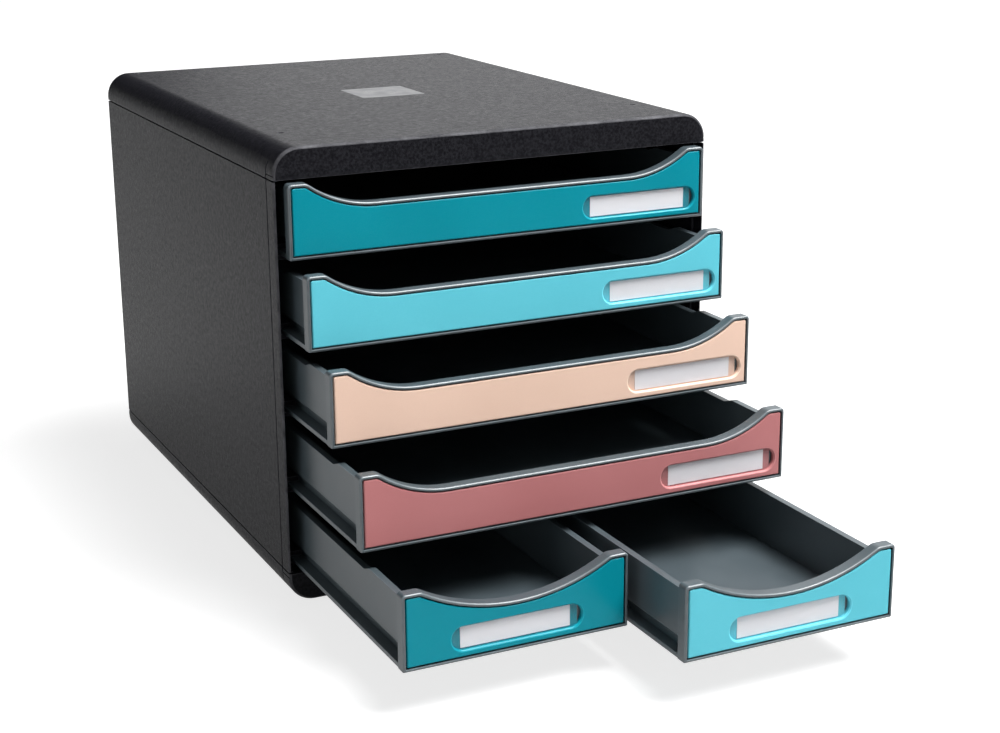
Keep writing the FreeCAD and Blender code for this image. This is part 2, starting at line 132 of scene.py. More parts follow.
class Recipe:
    """A material being put together around its one Principled shader."""

    def __init__(self, name: str) -> None:
        """Start a material with a plain shader and coordinates in metres on the piece.

        Args:
            name: The material's name.
        """
        self.material = bpy.data.materials.new(name)
        self.material.use_nodes = True
        self.tree = self.material.node_tree
        self.shader = self.tree.nodes["Principled BSDF"]
        self.place = self.tree.nodes.new("ShaderNodeTexCoord").outputs["Object"]

    def put(self, target: Socket, value: object) -> None:
        """Link a socket to a target, or set the target to a plain value.

        Args:
            target: The input socket.
            value: An output socket, or a plain value.
        """
        if isinstance(value, Socket):
            self.tree.links.new(value, target)
        else:
            target.default_value = value

    def set(self, **values: object) -> None:
        """Set the shader's own sockets; a name's underscores stand for spaces."""
        for name, value in values.items():
            self.put(self.shader.inputs[name.replace("_", " ")], value)

    def noise(self, size: float, detail: float = 2.0, place: Socket | None = None) -> Socket:
        """Make soft noise.

        Args:
            size: The distance between its patches, in metres.
            detail: How many finer layers it holds.
            place: The coordinates it is read at, or None for the piece's own.

        Returns:
            The noise, around one half.
        """
        node = self.tree.nodes.new("ShaderNodeTexNoise")
        self.put(node.inputs["Vector"], place or self.place)
        node.inputs["Scale"].default_value = 1 / size
        node.inputs["Detail"].default_value = detail
        return node.outputs["Fac"]

    def brushed(self, detail: float) -> Socket:
        """Make fine lines that run along X.

        Args:
            detail: How many finer layers they hold.

        Returns:
            The lines, around one half.
        """
        node = self.tree.nodes.new("ShaderNodeMapping")
        self.put(node.inputs["Vector"], self.place)
        node.inputs["Scale"].default_value = LINES_PER_METRE
        return self.noise(1.0, detail, node.outputs["Vector"])

    def pebbles(self, size: float, place: Socket) -> Socket:
        """Make the cells of a leather grain.

        Args:
            size: The width of a cell, in metres.
            place: The coordinates it is read at.

        Returns:
            The distance from each point to its cell's edge, as a share of the width.
        """
        node = self.tree.nodes.new("ShaderNodeTexVoronoi")
        node.feature = "DISTANCE_TO_EDGE"
        self.put(node.inputs["Vector"], place)
        node.inputs["Scale"].default_value = 1 / size
        return node.outputs["Distance"]

    def warped(self, size: float, reach: float) -> Socket:
        """Give the piece's coordinates pushed about by noise.

        Args:
            size: The distance between the noise's patches.
            reach: How far a point is pushed on average.

        Returns:
            The moved coordinates.
        """
        noise = self.tree.nodes.new("ShaderNodeTexNoise")
        self.put(noise.inputs["Vector"], self.place)
        noise.inputs["Scale"].default_value = 1 / size
        push = self.tree.nodes.new("ShaderNodeVectorMath")
        push.operation = "MULTIPLY_ADD"
        self.put(push.inputs[0], noise.outputs["Color"])
        push.inputs[1].default_value = (2 * reach,) * 3
        self.put(push.inputs[2], self.place)
        return push.outputs["Vector"]

    def spread(self, value: Socket, low: float, high: float, start: float = 0.0, end: float = 1.0) -> Socket:
        """Map a value from one range to another, held at the ends.

        Args:
            value: The socket to map.
            low: What start becomes.
            high: What end becomes.
            start: The value's lower end.
            end: The value's upper end.

        Returns:
            The mapped value.
        """
        node = self.tree.nodes.new("ShaderNodeMapRange")
        self.put(node.inputs["Value"], value)
        node.inputs["From Min"].default_value = start
        node.inputs["From Max"].default_value = end
        node.inputs["To Min"].default_value = low
        node.inputs["To Max"].default_value = high
        return node.outputs["Result"]

    def joined(self, first: Socket, second: Socket, operation: str = "ADD") -> Socket:
        """Add two values, or join them by another operation.

        Args:
            first: The first value.
            second: The second value.
            operation: The Math node's operation.

        Returns:
            The result.
        """
        node = self.tree.nodes.new("ShaderNodeMath")
        node.operation = operation
        self.put(node.inputs[0], first)
        self.put(node.inputs[1], second)
        return node.outputs[0]

    def worn_and_highlit(self, size: float) -> Socket:
        """Find how worn a point is; the same mark places the painted edge highlights.

        Args:
            size: The distance between the worn patches, in metres.

        Returns:
            0 on the faces, and up to 1 in patches along the soft edges.
        """
        node = self.tree.nodes.new("ShaderNodeAttribute")
        node.attribute_name = EDGE_WEAR_AND_HIGHLIGHT
        patches = self.spread(self.noise(size, detail=3.0), LEAST_WEAR_AND_HIGHLIGHT, 1.0, *NARROW_MIDDLE)
        return self.joined(node.outputs["Fac"], patches, "MULTIPLY")

    def mixed(self, share: Socket, first: Colour | Socket, second: Colour | Socket) -> Socket:
        """Blend two colours.

        Args:
            share: How much of the second colour shows.
            first: The first colour, as it looks or as a socket.
            second: The second colour, as it looks or as a socket.

        Returns:
            The blended colour.
        """
        node = self.tree.nodes.new("ShaderNodeMix")
        node.data_type = "RGBA"
        self.put(node.inputs["Factor"], share)
        self.put(node.inputs["A"], linear(first) if isinstance(first, tuple) else first)
        self.put(node.inputs["B"], linear(second) if isinstance(second, tuple) else second)
        return node.outputs["Result"]

    def toned(self, colour: Colour, tones: Tones, share: Socket, patch: float) -> Socket:
        """Vary a colour between two tones, and give it a third where it is worn; a lighter third tone also
        paints a highlight on those edges.

        Args:
            colour: The plain colour.
            tones: How much lighter it is at share 0, at share 1 and where it is worn.
            share: How much of the second tone shows.
            patch: The distance between the worn patches, in metres.

        Returns:
            The varied colour.
        """
        # A lighter third tone stands for a painted edge highlight as well as wear
        dark, light, rubbed_and_highlit = (shade(colour, change) for change in tones)
        return self.mixed(self.worn_and_highlit(patch), self.mixed(share, dark, light), rubbed_and_highlit)

    def relief(self, height: Socket, depth: float) -> None:
        """Raise the surface by a height map.

        Args:
            height: The height map, from 0 to 1.
            depth: How high its 1 stands over its 0, in metres.
        """
        node = self.tree.nodes.new("ShaderNodeBump")
        node.inputs["Strength"].default_value = 1.0
        node.inputs["Distance"].default_value = depth
        self.put(node.inputs["Height"], height)
        self.put(self.shader.inputs["Normal"], node.outputs["Normal"])


@dataclass(frozen=True)
class GrainedPlastic:
    """Black moulding plastic with a fine leather grain and a low sheen.

    Attributes:
        name: The material's name.
        colour: Its colour as it looks.
        grain: The width of a grain cell.
        bend: The distance between the places where the grain bends, in cells.
        bend_reach: How far it bends there, in cells.
        crevice: Where the edge of a cell starts and ends, as shares of its width.
        mottle: The width of the coarse patches.
        mottle_height: How high they stand, where a cell's height is 1.
        tooth: The size of the fine tooth, in cells.
        tooth_height: How high it stands, where a cell's height is 1.
        fleck: The size of the changes in tone, in cells.
        depth: The height of a cell.
        tones: The changes in tone; the third, on worn edges and front rounds, is lighter and paints a
            highlight there as well as wear.
        wear_and_highlight_patch: The distance between worn patches.
        roughness: The roughness at its least and at its most.
        polish: How much smoother a worn place is.
        sheen: The specular level.
    """

    name: str
    colour: Colour
    grain: float = 0.95 * MM
    bend: float = 2.2
    bend_reach: float = 0.35
    crevice: Range = (0.02, 0.3)
    mottle: float = 2.6 * MM
    mottle_height: float = 1.2
    tooth: float = 0.2
    tooth_height: float = 0.35
    fleck: float = 1.5
    depth: float = 0.07 * MM
    # The lighter third tone on the edge and front rounds is a painted highlight along the lid's front edge
    # and seams, as well as wear
    tones: Tones = (-9, 10, 62)
    wear_and_highlight_patch: float = 9 * MM
    roughness: Range = (0.29, 0.43)
    polish: float = 0.12
    sheen: float = 0.055

    def make(self) -> bpy.types.Material:
        """Build the material.

        Returns:
            The material.
        """
        recipe = Recipe(self.name)
        place = recipe.warped(self.bend * self.grain, self.bend_reach * self.grain)
        cells = recipe.spread(recipe.pebbles(self.grain, place), 0.0, 1.0, *self.crevice)
        mottle = recipe.noise(self.mottle, detail=4.0)
        tooth = recipe.noise(self.tooth * self.grain)
        height = recipe.joined(cells, recipe.spread(mottle, 0.0, self.mottle_height))
        height = recipe.joined(height, recipe.spread(tooth, 0.0, self.tooth_height))
        tint = recipe.spread(recipe.noise(self.fleck * self.grain), 0.0, 1.0, *NARROW_MIDDLE)
        recipe.set(Base_Color=recipe.toned(self.colour, self.tones, tint, self.wear_and_highlight_patch))
        rough = recipe.spread(mottle, *self.roughness, *MIDDLE)
        polish = recipe.spread(recipe.worn_and_highlit(self.wear_and_highlight_patch), 0.0, self.polish)
        recipe.set(Roughness=recipe.joined(rough, polish, "SUBTRACT"), Specular_IOR_Level=self.sheen)
        recipe.relief(height, self.depth)
        return recipe.material


@dataclass(frozen=True)
class SatinPlastic:
    """Grey moulding plastic with the very fine tooth of a spark-worn mould.

    Attributes:
        name: The material's name.
        colour: Its colour as it looks.
        tooth: The width of the tooth.
        depth: Its height.
        cloud: The width of the soft changes in tone.
        tones: The changes in tone; the third, on worn edges and front rounds, is lighter and paints a
            highlight there as well as wear.
        wear_and_highlight_patch: The distance between worn patches.
        roughness: The roughness at its least and at its most.
        sheen: The specular level.
    """

    name: str
    colour: Colour
    tooth: float = 0.35 * MM
    depth: float = 0.01 * MM
    cloud: float = 28 * MM
    # The lighter third tone on the tray's edge and front rounds is a painted highlight as well as wear
    tones: Tones = (-4, 4, 22)
    wear_and_highlight_patch: float = 6 * MM
    roughness: Range = (0.35, 0.46)
    sheen: float = 0.75

    def make(self) -> bpy.types.Material:
        """Build the material.

        Returns:
            The material.
        """
        recipe = Recipe(self.name)
        tooth = recipe.noise(self.tooth, detail=3.0)
        cloud = recipe.noise(self.cloud)
        tint = recipe.spread(cloud, 0.0, 1.0, *MIDDLE)
        recipe.set(Base_Color=recipe.toned(self.colour, self.tones, tint, self.wear_and_highlight_patch))
        rough = recipe.spread(recipe.joined(tooth, cloud), *self.roughness, *DOUBLE_MIDDLE)
        recipe.set(Roughness=rough, Specular_IOR_Level=self.sheen)
        recipe.relief(tooth, self.depth)
        return recipe.material


@dataclass(frozen=True)
class PearlPlastic:
    """The coloured fronts: smooth plastic with fine pearl flakes under a satin skin.

    Attributes:
        name: The material's name.
        colour: Its colour as it looks.
        flake: The width of a flake.
        cloud: The width of the soft changes in tone.
        ripple: The width of the skin's slight waves.
        depth: Their height.
        tones: The changes in tone; the third, on the worn edge rounds, is lighter and paints a highlight
            there as well as wear.
        wear_and_highlight_patch: The distance between worn patches.
        roughness: The roughness at its least and at its most.
        sheen: The specular level.
    """

    name: str
    colour: Colour
    flake: float = 0.22 * MM
    cloud: float = 60 * MM
    ripple: float = 7 * MM
    depth: float = 0.02 * MM
    # The lighter third tone on the insert's edge rounds is a painted highlight as well as wear
    tones: Tones = (-5, 5, 30)
    wear_and_highlight_patch: float = 5 * MM
    roughness: Range = (0.21, 0.32)
    sheen: float = 0.14

    def make(self) -> bpy.types.Material:
        """Build the material.

        Returns:
            The material.
        """
        recipe = Recipe(self.name)
        flakes = recipe.noise(self.flake, detail=1.0)
        cloud = recipe.noise(self.cloud, detail=1.0)
        halves = [recipe.spread(pattern, 0.0, 0.5, *MIDDLE) for pattern in (flakes, cloud)]
        tint = recipe.joined(*halves)
        recipe.set(Base_Color=recipe.toned(self.colour, self.tones, tint, self.wear_and_highlight_patch))
        recipe.set(Roughness=recipe.spread(flakes, *self.roughness, *MIDDLE), Specular_IOR_Level=self.sheen)
        recipe.relief(recipe.noise(self.ripple, detail=1.0), self.depth)
        return recipe.material


@dataclass(frozen=True)
class Paper:
    """The uncoated white card of a label.

    Attributes:
        name: The material's name.
        colour: Its colour as it looks.
        fibre: The width of a tuft of fibres.
        depth: Its height.
        tones: The changes in tone.
        wear_and_highlight_patch: The distance between worn patches.
        roughness: The roughness at its least and at its most.
        sheen: The specular level.
    """

    name: str
    colour: Colour
    fibre: float = 0.5 * MM
    depth: float = 0.01 * MM
    tones: Tones = (-5, 3, -10)
    wear_and_highlight_patch: float = 3 * MM
    roughness: Range = (0.85, 0.95)
    sheen: float = 0.25

    def make(self) -> bpy.types.Material:
        """Build the material.

        Returns:
            The material.
        """
        recipe = Recipe(self.name)
        fibres = recipe.noise(self.fibre, detail=5.0)
        tint = recipe.spread(fibres, 0.0, 1.0, *MIDDLE)
        recipe.set(Base_Color=recipe.toned(self.colour, self.tones, tint, self.wear_and_highlight_patch))
        recipe.set(Roughness=recipe.spread(fibres, *self.roughness), Specular_IOR_Level=self.sheen)
        recipe.relief(fibres, self.depth)
        return recipe.material


@dataclass(frozen=True)
class ClearPlastic:
    """The thin clear window over a label, with a faint haze and a few hairlines.

    Attributes:
        name: The material's name.
        colour: The haze's colour as it looks.
        haze: How much of what lies behind it the haze hides.
        rubbed_and_highlit: How much lighter a worn edge is.
        wear_and_highlight_patch: The distance between worn patches.
        ripple: The width of the sheet's slight waves.
        depth: Their height.
        roughness: The roughness at its least and at its most.
        sheen: The specular level.
    """

    name: str
    colour: Colour
    haze: float = 0.06
    rubbed_and_highlit: int = 12
    wear_and_highlight_patch: float = 4 * MM
    ripple: float = 6 * MM
    depth: float = 0.01 * MM
    roughness: Range = (0.08, 0.2)
    sheen: float = 0.5

    def make(self) -> bpy.types.Material:
        """Build the material.

        Returns:
            The material.
        """
        recipe = Recipe(self.name)
        worn_and_highlit = recipe.worn_and_highlit(self.wear_and_highlight_patch)
        recipe.set(Base_Color=recipe.mixed(worn_and_highlit, self.colour, shade(self.colour, self.rubbed_and_highlit)))
        recipe.set(Roughness=recipe.spread(recipe.brushed(detail=2.0), *self.roughness, *NARROW_MIDDLE))
        recipe.set(Alpha=self.haze, Specular_IOR_Level=self.sheen)
        recipe.relief(recipe.noise(self.ripple, detail=1.0), self.depth)
        return recipe.material


@dataclass(frozen=True)
class BrushedMetal:
    """The bare satin plate in the lid, brushed from side to side.

    Attributes:
        name: The material's name.
        colour: Its colour as it looks.
        cloud: The width of the soft changes in gloss.
        depth: The depth of the brush lines.
        tones: The changes in tone.
        wear_and_highlight_patch: The distance between worn patches.
        roughness: The roughness at its least and at its most.
    """

    name: str
    colour: Colour
    cloud: float = 9 * MM
    depth: float = 0.006 * MM
    tones: Tones = (-16, 10, 25)
    wear_and_highlight_patch: float = 3 * MM
    roughness: Range = (0.26, 0.46)

    def make(self) -> bpy.types.Material:
        """Build the material.

        Returns:
            The material.
        """
        recipe = Recipe(self.name)
        lines = recipe.brushed(detail=3.0)
        tint = recipe.spread(lines, 0.0, 1.0, *MIDDLE)
        recipe.set(Base_Color=recipe.toned(self.colour, self.tones, tint, self.wear_and_highlight_patch), Metallic=1.0)
        uneven = recipe.joined(lines, recipe.noise(self.cloud))
        recipe.set(Roughness=recipe.spread(uneven, *self.roughness, *DOUBLE_MIDDLE))
        recipe.relief(lines, self.depth)
        return recipe.material


@dataclass(frozen=True)
class FootRubber:
    """Soft black rubber, dull and a little dusty.

    Attributes:
        name: The material's name.
        colour: Its colour as it looks.
        pore: The width of a pore.
        depth: Its depth.
        dust: How much of the dusty tone shows at most.
        dust_patch: The distance between dusty patches.
        dust_edge: Where a dusty patch starts and is full, in its noise.
        tones: The changes in tone: clean, dusty and worn.
        wear_and_highlight_patch: The distance between worn patches.
        roughness: The roughness at its least and at its most.
        sheen: The specular level.
    """

    name: str
    colour: Colour
    pore: float = 0.6 * MM
    depth: float = 0.03 * MM
    dust: float = 0.6
    dust_patch: float = 5 * MM
    dust_edge: Range = (0.45, 0.7)
    tones: Tones = (0, 18, 26)
    wear_and_highlight_patch: float = 4 * MM
    roughness: Range = (0.75, 0.92)
    sheen: float = 0.3

    def make(self) -> bpy.types.Material:
        """Build the material.

        Returns:
            The material.
        """
        recipe = Recipe(self.name)
        pores = recipe.noise(self.pore, detail=4.0)
        dust = recipe.spread(recipe.noise(self.dust_patch, detail=3.0), 0.0, self.dust, *self.dust_edge)
        recipe.set(Base_Color=recipe.toned(self.colour, self.tones, dust, self.wear_and_highlight_patch))
        recipe.set(Roughness=recipe.spread(pores, *self.roughness), Specular_IOR_Level=self.sheen)
        recipe.relief(pores, self.depth)
        return recipe.material


class Finishes:
    """Every finish of the object, made once each and shared by the pieces that wear it."""

    def __init__(self) -> None:
        """Make the materials."""
        self.case = GrainedPlastic("case_black", (25, 25, 29)).make()
        self.tray = SatinPlastic("drawer_grey", (65, 75, 80)).make()
        self.paper = Paper("label_paper", (248, 246, 250)).make()
        self.window = ClearPlastic("clear_window", (150, 158, 162)).make()
        self.badge = BrushedMetal("badge_metal", (110, 111, 114)).make()
        self.rubber = FootRubber("foot_rubber", (26, 26, 27)).make()
        self.fronts = {tone: PearlPlastic(tone.slot, tone.colour).make() for tone in FrontColour}


def softened(node: str, width: float) -> bmesh.types.BMesh:
    """Take a moulding's form from the frame and give its outer edges the small rounds of a real one.

    Args:
        node: The CAD node whose form is taken.
        width: The width of the round on each sharp outer edge.

    Returns:
        The form as an editable mesh, with its rounds marked for the lighter edge tone of wear and painted
        highlight.
    """
    form = bmesh.new()
    form.from_mesh(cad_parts[node].data)
    bmesh.ops.remove_doubles(form, verts=form.verts, dist=WELD)
    bmesh.ops.dissolve_limit(form, angle_limit=FLAT_ANGLE, verts=form.verts, edges=form.edges)
    wear_and_highlight = form.faces.layers.float.new(EDGE_WEAR_AND_HIGHLIGHT)
    outer = [e for e in form.edges if e.is_manifold and e.is_convex and e.calc_face_angle() > SHARP_ANGLE]
    made = bmesh.ops.bevel(
        form,
        geom=outer,
        offset=width,
        offset_type="OFFSET",
        segments=ROUND_SEGMENTS,
        profile=0.5,
        affect="EDGES",
    )
    # The new rounds take the lighter edge tone: wear, and on the case, trays and fronts a painted highlight
    for face in made["faces"]:
        face[wear_and_highlight] = 1.0
    return form


def rubbed_and_highlit(form: bmesh.types.BMesh) -> bmesh.types.BMesh:
    """Mark a form's front rounds, which hands rub, for the lighter edge tone that is wear and a painted
    highlight.

    Args:
        form: The editable mesh, whose front faces -Y.

    Returns:
        The same mesh.
    """
    wear_and_highlight = form.faces.layers.float[EDGE_WEAR_AND_HIGHLIGHT]
    form.normal_update()
    for face in form.faces:
        if RUBBED_AND_HIGHLIT_FROM < -face.normal.y < RUBBED_AND_HIGHLIT_TO:
            face[wear_and_highlight] = 1.0
    return form


def finished(name: str, form: bmesh.types.BMesh) -> bpy.types.Object:
    """Turn an editable mesh into a piece with clean shading.

    Large faces keep their own direction, the rounds beside them blend into both, and
    inner corners stay crisp.

    Args:
        name: The piece's name.
        form: The editable mesh, which is used up.

    Returns:
        The piece, linked into the scene.
    """
    form.normal_update()
    for edge in form.edges:
        edge.smooth = edge.is_manifold and edge.calc_face_angle() < SHARP_ANGLE
    for face in form.faces:
        face.smooth = True
        face.material_index = 0
    draft = bpy.data.meshes.new(name + "_draft")
    form.to_mesh(draft)
    form.free()
    draft.materials.clear()
    for attribute in [a.name for a in draft.attributes if a.name in ("custom_normal", "UVMap")]:
        draft.attributes.remove(draft.attributes[attribute])
    piece = bpy.data.objects.new(name, draft)
    bpy.context.scene.collection.objects.link(piece)
    blend = piece.modifiers.new("even_shading", "WEIGHTED_NORMAL")
    blend.keep_sharp = True
    bpy.context.view_layer.update()
    mesh = bpy.data.meshes.new_from_object(piece.evaluated_get(bpy.context.evaluated_depsgraph_get()))
    piece.modifiers.clear()
    piece.data = mesh
    mesh.name = name
    bpy.data.meshes.remove(draft)
    return piece


def fit(
    piece: bpy.types.Object,
    material: bpy.types.Material,
    body: str,
    nodes: Iterable[str],
) -> None:
    """Dress a piece and tie it to the frame.

    Args:
        piece: The piece.
        material: Its finish.
        body: The body that it moves with.
        nodes: The CAD nodes that it stands for.
    """
    piece.data.materials.append(material)
    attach(piece, body)
    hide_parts(*nodes)
    log.info("%s rides on %s: %d faces", piece.name, body, len(piece.data.polygons))


@dataclass
class Case:
    """The outer case: lid, base, two side panels, back panel and centre divider.

    Attributes:
        finishes: The object's finishes.
        edge: The width of the edge rounds that are in sight.
        inner_edge: The same inside the case.
        body: The body that the case is.
    """

    finishes: Finishes
    edge: float = 0.28 * MM
    inner_edge: float = 0.35 * MM
    body: str = "case"

    def build(self) -> None:
        """Build and dress every moulding of the case."""
        for node, edge in self.mouldings().items():
            piece = finished(node + "_moulding", rubbed_and_highlit(softened(node, edge)))
            fit(piece, self.finishes.case, self.body, [node])

    def mouldings(self) -> dict[str, float]:
        """List the case's mouldings.

        Returns:
            Each moulding's node with the width of its edge rounds.
        """
        return {
            "top_lid": self.edge,
            "base_tray": self.edge,
            "side_panel_left": self.edge,
            "side_panel_right": self.edge,
            "back_panel": self.inner_edge,
            "centre_divider": self.inner_edge,
        }


@dataclass
class Badge:
    """The bare square metal plate in the lid.

    Attributes:
        finishes: The object's finishes.
        edge: The width of its edge rounds.
        body: The body that the plate rides on.
    """

    finishes: Finishes
    edge: float = 0.12 * MM
    body: str = "case"

    def build(self) -> None:
        """Build and dress the plate."""
        piece = finished("badge_plate_blank", softened("badge_plate", self.edge))
        fit(piece, self.finishes.badge, self.body, ["badge_plate"])


@dataclass
class Foot:
    """A turned rubber foot with a round shoulder and a shallow hollow in its tread.

    Attributes:
        finishes: The object's finishes.
        node: The CAD node that the foot stands for.
        shoulder: The radius of the shoulder.
        hollow: The depth of the hollow, and the run of its slope.
        tread: The width of the ring that stands on the table.
        top_slope: The width of the slope round the top.
        steps: The number of faces round the foot.
        turns: The number of faces up the shoulder.
        body: The body that the foot rides on.
    """

    finishes: Finishes
    node: str
    shoulder: float = 1.4 * MM
    hollow: float = 0.5 * MM
    tread: float = 1.8 * MM
    top_slope: float = 0.3 * MM
    steps: int = 56
    turns: int = 6
    body: str = "case"

    def profile(self, radius: float, height: float) -> list[tuple[float, float]]:
        """Give the foot's section, from the middle of its tread to the middle of its top.

        Args:
            radius: The foot's outer radius.
            height: Its height.

        Returns:
            Radius and height of each point.
        """
        ring = radius - self.shoulder - self.tread
        points = [(0.0, self.hollow), (ring - self.hollow, self.hollow), (ring, 0.0)]
        points.append((radius - self.shoulder, 0.0))
        for step in range(1, self.turns + 1):
            angle = step / self.turns * math.pi / 2
            across = radius - self.shoulder + self.shoulder * math.sin(angle)
            points.append((across, self.shoulder - self.shoulder * math.cos(angle)))
        points += [(radius, height - self.top_slope), (radius - self.top_slope, height), (0.0, height)]
        return points

    def build(self) -> None:
        """Turn the section about the foot's axis and dress it."""
        low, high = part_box(self.node)
        middle = (low + high) / 2
        form = bmesh.new()
        wear_and_highlight = form.faces.layers.float.new(EDGE_WEAR_AND_HIGHLIGHT)
        points = self.profile((high.x - low.x) / 2, high.z - low.z)
        spots = [form.verts.new((middle.x + across, middle.y, low.z + up)) for across, up in points]
        edges = [form.edges.new(pair) for pair in zip(spots, spots[1:])]
        bmesh.ops.spin(
            form,
            geom=spots + edges,
            cent=middle,
            axis=(0, 0, 1),
            angle=2 * math.pi,
            steps=self.steps,
            use_merge=True,
        )
        bmesh.ops.remove_doubles(form, verts=form.verts, dist=WELD)
        bmesh.ops.recalc_face_normals(form, faces=form.faces)
        for face in form.faces:
            face[wear_and_highlight] = float(face.calc_center_median().z < low.z + self.shoulder)
        piece = finished(self.node + "_rubber", form)
        fit(piece, self.finishes.rubber, self.body, [self.node])


@dataclass
class Drawer:
    """One drawer: its grey tray, coloured insert, label card and clear window.

    Attributes:
        finishes: The object's finishes.
        number: The drawer's number, from the top down.
        colour: The colour of its front.
        tray_edge: The width of the tray's edge rounds.
        insert_edge: The same for the insert.
        card_edge: The same for the label card.
        window_edge: The same for the window.
    """

    finishes: Finishes
    number: int
    colour: FrontColour
    tray_edge: float = 0.4 * MM
    insert_edge: float = 0.25 * MM
    card_edge: float = 0.06 * MM
    window_edge: float = 0.2 * MM

    @property
    def body(self) -> str:
        """The body that the drawer's pieces ride on."""
        return f"drawer_{self.number}"

    def build(self) -> None:
        """Build and dress the drawer's four pieces."""
        pieces = [
            ("drawer_tray", "tray", self.tray_edge, self.finishes.tray, "drawer_grey"),
            ("front_insert", "front", self.insert_edge, self.finishes.fronts[self.colour], self.colour.slot),
            ("label_card", "card", self.card_edge, self.finishes.paper, "label_paper"),
            ("label_window", "window", self.window_edge, self.finishes.window, "clear_window"),
        ]
        for stem, word, edge, material, slot in pieces:
            node = f"{stem}_{self.number}"
            form = softened(node, edge)
            piece = finished(f"{self.body}_{word}", rubbed_and_highlit(form) if word == "tray" else form)
            fit(piece, material, self.body, [node])


@dataclass(frozen=True)
class Softbox:
    """A flat rectangular studio lamp that shines one way.

    Attributes:
        name: The lamp's name.
        place: Where its middle hangs.
        aim: The point that it faces.
        size: Its width and height.
        radiance: How bright its face is.
        only_in_sheen: Whether only glossy surfaces see it.
    """

    name: str
    place: tuple[float, float, float]
    aim: tuple[float, float, float]
    size: Range
    radiance: float
    only_in_sheen: bool = False

    def build(self) -> None:
        """Hang the lamp; its power follows from how bright its face is."""
        lamp = bpy.data.lights.new(self.name, "AREA")
        lamp.shape = "RECTANGLE"
        lamp.size, lamp.size_y = self.size
        lamp.energy = self.radiance * math.pi * lamp.size * lamp.size_y
        holder = bpy.data.objects.new(self.name, lamp)
        holder.visible_diffuse = not self.only_in_sheen
        holder.location = self.place
        way = Vector(self.aim) - Vector(self.place)
        holder.rotation_euler = way.to_track_quat("-Z", "Y").to_euler()
        bpy.context.scene.collection.objects.link(holder)


